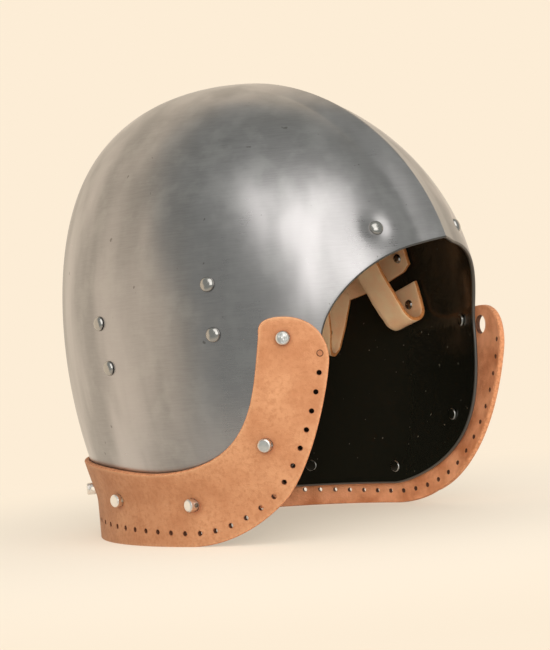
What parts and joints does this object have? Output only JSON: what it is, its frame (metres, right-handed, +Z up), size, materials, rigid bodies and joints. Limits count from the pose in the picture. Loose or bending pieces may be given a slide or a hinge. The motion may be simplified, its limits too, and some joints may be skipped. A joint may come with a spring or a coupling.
{
  "type": "bascinet",
  "caption": "Open-faced steel bascinet skull with a medial ridge, a studded leather aventail band and a riveted leather lining.",
  "frame": {"origin": "middle of the helmet's box, on the level lower edge of the leather band that it stands on", "axes": "+Z up, the face looks along -Y, +X is the wearer's left"},
  "size_m": [0.2036, 0.2402, 0.2398],
  "materials": {
    "skull_steel": "satin outside, black inside",
    "fastener_steel": "polished",
    "band_leather": "matt, undyed",
    "lining_leather": "rough side out",
    "lace_leather": "matt"
  },
  "bodies": {
    "root": {"aventail_band": "band_leather", "crown_lace": "lace_leather", "crown_strap_back_left": "lining_leather", "crown_strap_back_right": "lining_leather", "crown_strap_brow_left": "lining_leather", "crown_strap_brow_right": "lining_leather", "crown_strap_temple_left": "lining_leather", "crown_strap_temple_right": "lining_leather", "lining_headband": "lining_leather", "rivet_back_lower_left": "fastener_steel", "rivet_back_lower_right": "fastener_steel", "rivet_back_upper_left": "fastener_steel", "rivet_back_upper_right": "fastener_steel", "rivet_brow_left": "fastener_steel", "rivet_brow_right": "fastener_steel", "rivet_temple_lower_left": "fastener_steel", "rivet_temple_lower_right": "fastener_steel", "rivet_temple_upper_left": "fastener_steel", "rivet_temple_upper_right": "fastener_steel", "skull": "skull_steel", "stud_back": "fastener_steel", "stud_left_1": "fastener_steel", "stud_left_2": "fastener_steel", "stud_left_3": "fastener_steel", "stud_left_4": "fastener_steel", "stud_left_5": "fastener_steel", "stud_right_1": "fastener_steel", "stud_right_2": "fastener_steel", "stud_right_3": "fastener_steel", "stud_right_4": "fastener_steel", "stud_right_5": "fastener_steel"}
  },
  "joints": []
}
